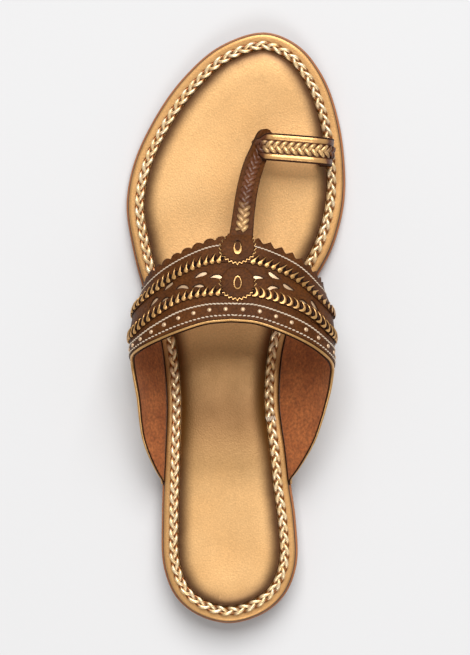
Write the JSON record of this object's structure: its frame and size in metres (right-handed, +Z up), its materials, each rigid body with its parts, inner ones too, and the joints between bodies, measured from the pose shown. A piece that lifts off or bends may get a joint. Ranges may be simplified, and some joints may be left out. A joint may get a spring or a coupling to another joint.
{
  "type": "kolhapuri sandal",
  "caption": "Flat left sandal with a wide decorated instep band, swept side wings, a toe strap and a toe ring over a padded footbed edged with plaited trim.",
  "frame": {"origin": "on the floor, under the middle of the sandal's length and width", "axes": "+Y from the heel to the toes, +X to the big toe's side (medial), +Z up"},
  "size_m": [0.0929, 0.2496, 0.0606],
  "materials": {
    "outsole_leather": "burnished edge",
    "heel_leather": "stacked, waxed",
    "gold_leather": "satin metallic",
    "foil_leather": "bright metallic foil",
    "upper_leather": "semi-gloss, gilded in places"
  },
  "bodies": {
    "root": {"outsole": "outsole_leather", "heel": "heel_leather", "insole_board": "gold_leather", "footbed": "gold_leather", "plaited_trim": "foil_leather", "upper": "upper_leather"}
  },
  "joints": []
}
